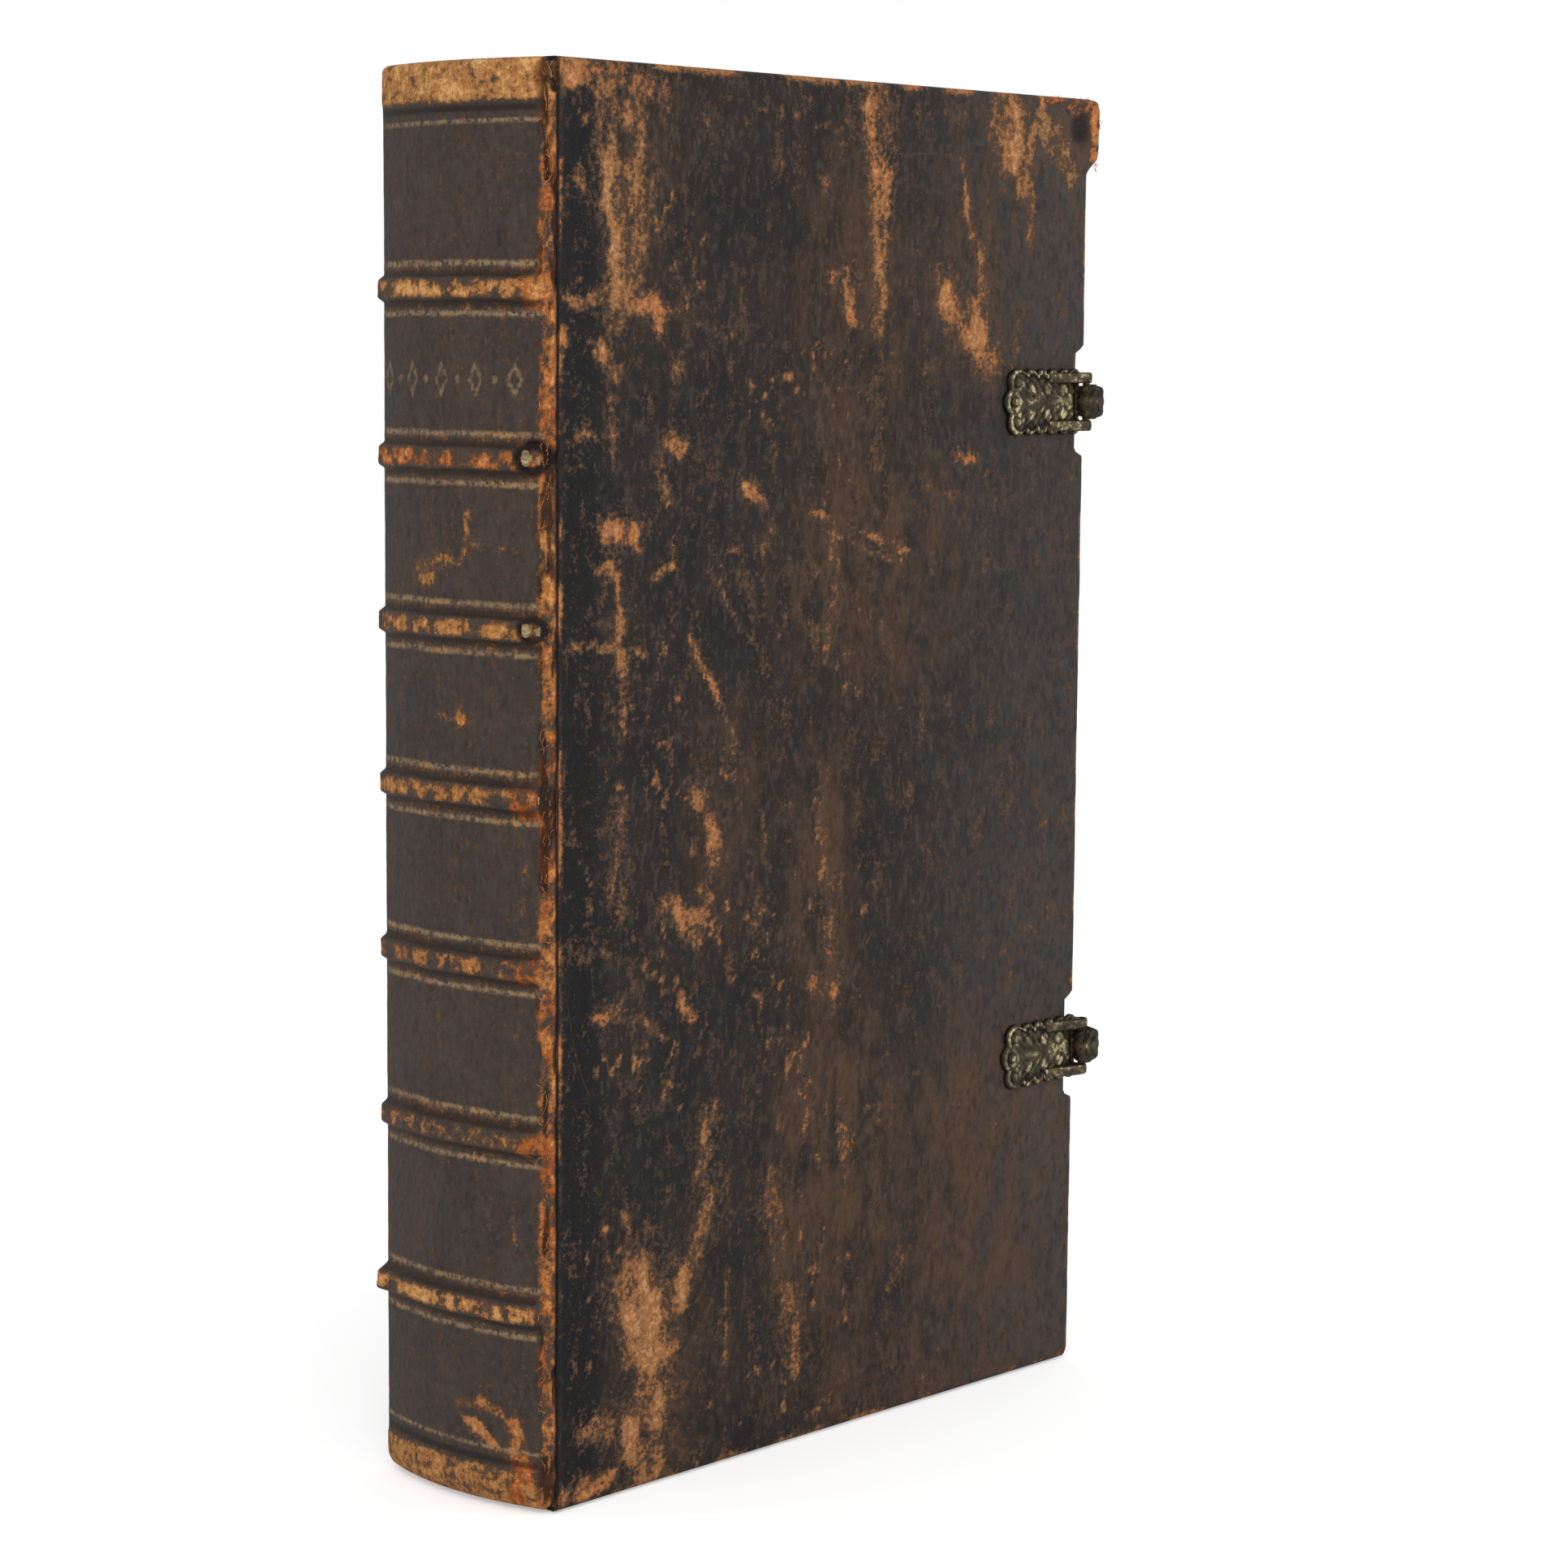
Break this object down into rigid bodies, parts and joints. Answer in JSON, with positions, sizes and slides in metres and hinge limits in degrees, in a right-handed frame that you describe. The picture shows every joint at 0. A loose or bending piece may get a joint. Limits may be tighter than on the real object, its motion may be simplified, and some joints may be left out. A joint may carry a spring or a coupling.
{
  "type": "antique leather book with clasps",
  "caption": "Old folio book standing on its tail: dark rubbed leather over wooden boards, rounded spine with raised bands, leaves with squares, two hinged metal clasps at the fore-edge.",
  "frame": {"origin": "bottom centre of the bounding box, on the surface that the book stands on", "axes": "+Z from tail to head, +X from the spine to the fore-edge, +Y from the front cover to the back cover"},
  "size_m": [0.2242, 0.069, 0.36],
  "materials": {
    "cover_leather": "dark brown calf, rubbed to tan, semi-matte",
    "spine_leather": "dark grey-brown calf, rubbed to orange-brown on bands and joints",
    "leaves": "aged rag paper edges",
    "endpaper": "aged laid paper",
    "board_wood": "quarter-sawn oak boards",
    "peg_wood": "split hardwood pegs",
    "cord": "hemp sewing cord",
    "lining": "paste-stiff waste paper",
    "endband_thread": "wrapped linen thread",
    "clasp_brass": "dark patinated cast brass, bright on the edges",
    "pin_brass": "drawn brass wire"
  },
  "bodies": {
    "leaves_and_spine": {"text_block": "leaves", "spine_leather": "spine_leather", "spine_linings": "lining", "head_endband": "endband_thread", "tail_endband": "endband_thread", "front_flyleaf": "endpaper", "back_flyleaf": "endpaper", "band_cord_1": "cord", "band_cord_2": "cord", "band_cord_3": "cord", "band_cord_4": "cord", "band_cord_5": "cord", "band_cord_6": "cord", "band_cord_7": "cord"},
    "front_cover": {"front_board": "board_wood", "front_cover_leather": "cover_leather", "front_pastedown": "endpaper", "front_cord_slips": "cord", "front_pegs": "peg_wood", "upper_catch_plate": "clasp_brass", "upper_catch_bar": "pin_brass", "upper_catch_rivets": "pin_brass", "lower_catch_plate": "clasp_brass", "lower_catch_bar": "pin_brass", "lower_catch_rivets": "pin_brass"},
    "back_cover": {"back_board": "board_wood", "back_cover_leather": "cover_leather", "back_pastedown": "endpaper", "back_cord_slips": "cord", "back_pegs": "peg_wood", "upper_anchor_plate": "clasp_brass", "upper_anchor_rivets": "pin_brass", "upper_clasp_pin": "pin_brass", "lower_anchor_plate": "clasp_brass", "lower_anchor_rivets": "pin_brass", "lower_clasp_pin": "pin_brass"},
    "upper_clasp": {"upper_clasp_arm": "clasp_brass"},
    "lower_clasp": {"lower_clasp_arm": "clasp_brass"}
  },
  "joints": [
    {"name": "front_cover_hinge", "type": "hinge", "parent": "leaves_and_spine", "child": "front_cover", "pos_m": [-0.10115, -0.02915, 0.18], "axis": [0, 0, -1], "range_deg": [0, 180]},
    {"name": "back_cover_hinge", "type": "hinge", "parent": "leaves_and_spine", "child": "back_cover", "pos_m": [-0.10115, 0.03185, 0.18], "axis": [0, 0, 1], "range_deg": [0, 180]},
    {"name": "upper_clasp_hinge", "type": "hinge", "parent": "back_cover", "child": "upper_clasp", "pos_m": [0.10725, 0.03265, 0.276], "axis": [0, 0, 1], "range_deg": [0, 180]},
    {"name": "lower_clasp_hinge", "type": "hinge", "parent": "back_cover", "child": "lower_clasp", "pos_m": [0.11025, 0.03265, 0.092], "axis": [0, 0, 1], "range_deg": [0, 180]}
  ]
}
